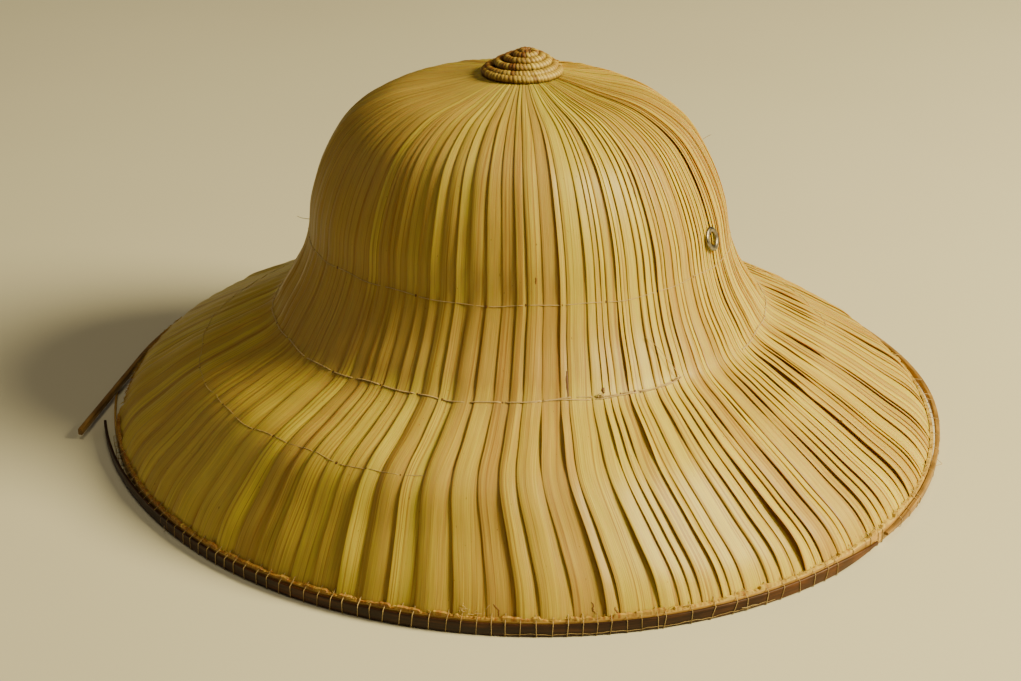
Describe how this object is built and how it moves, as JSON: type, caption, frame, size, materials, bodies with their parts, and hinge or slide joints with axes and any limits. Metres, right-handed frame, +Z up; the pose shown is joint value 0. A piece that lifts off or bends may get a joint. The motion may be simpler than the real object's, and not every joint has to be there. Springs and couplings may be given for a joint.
{
  "type": "pith style palm leaf sun hat",
  "caption": "Bell crowned sun hat of overlapping palm leaf strips that run from a coiled button down over a wide sloping brim bound by bent splints, with a metal eyelet in each side.",
  "frame": {"origin": "on the surface that the hat rests on, under the middle of the rim", "axes": "+Z up through the crown's button, -Y to the hat's front, +X and -X to the eyelets in its sides"},
  "size_m": [0.3781, 0.3617, 0.1716],
  "materials": {
    "palm_leaf": "dried palm leaf, satin",
    "coiled_fibre": "coiled and wrapped fibre, matt",
    "tan_splint": "split cane, satin",
    "dark_splint": "dark split cane, satin",
    "brown_splint": "brown split cane, satin",
    "eyelet_metal": "dull bright metal"
  },
  "bodies": {
    "root": {"leaf_shell": "palm_leaf", "top_button": "coiled_fibre", "rim_splint_tan": "tan_splint", "rim_splint_dark": "dark_splint", "rim_splint_brown": "brown_splint", "eyelet_right": "eyelet_metal", "eyelet_left": "eyelet_metal"}
  },
  "joints": []
}
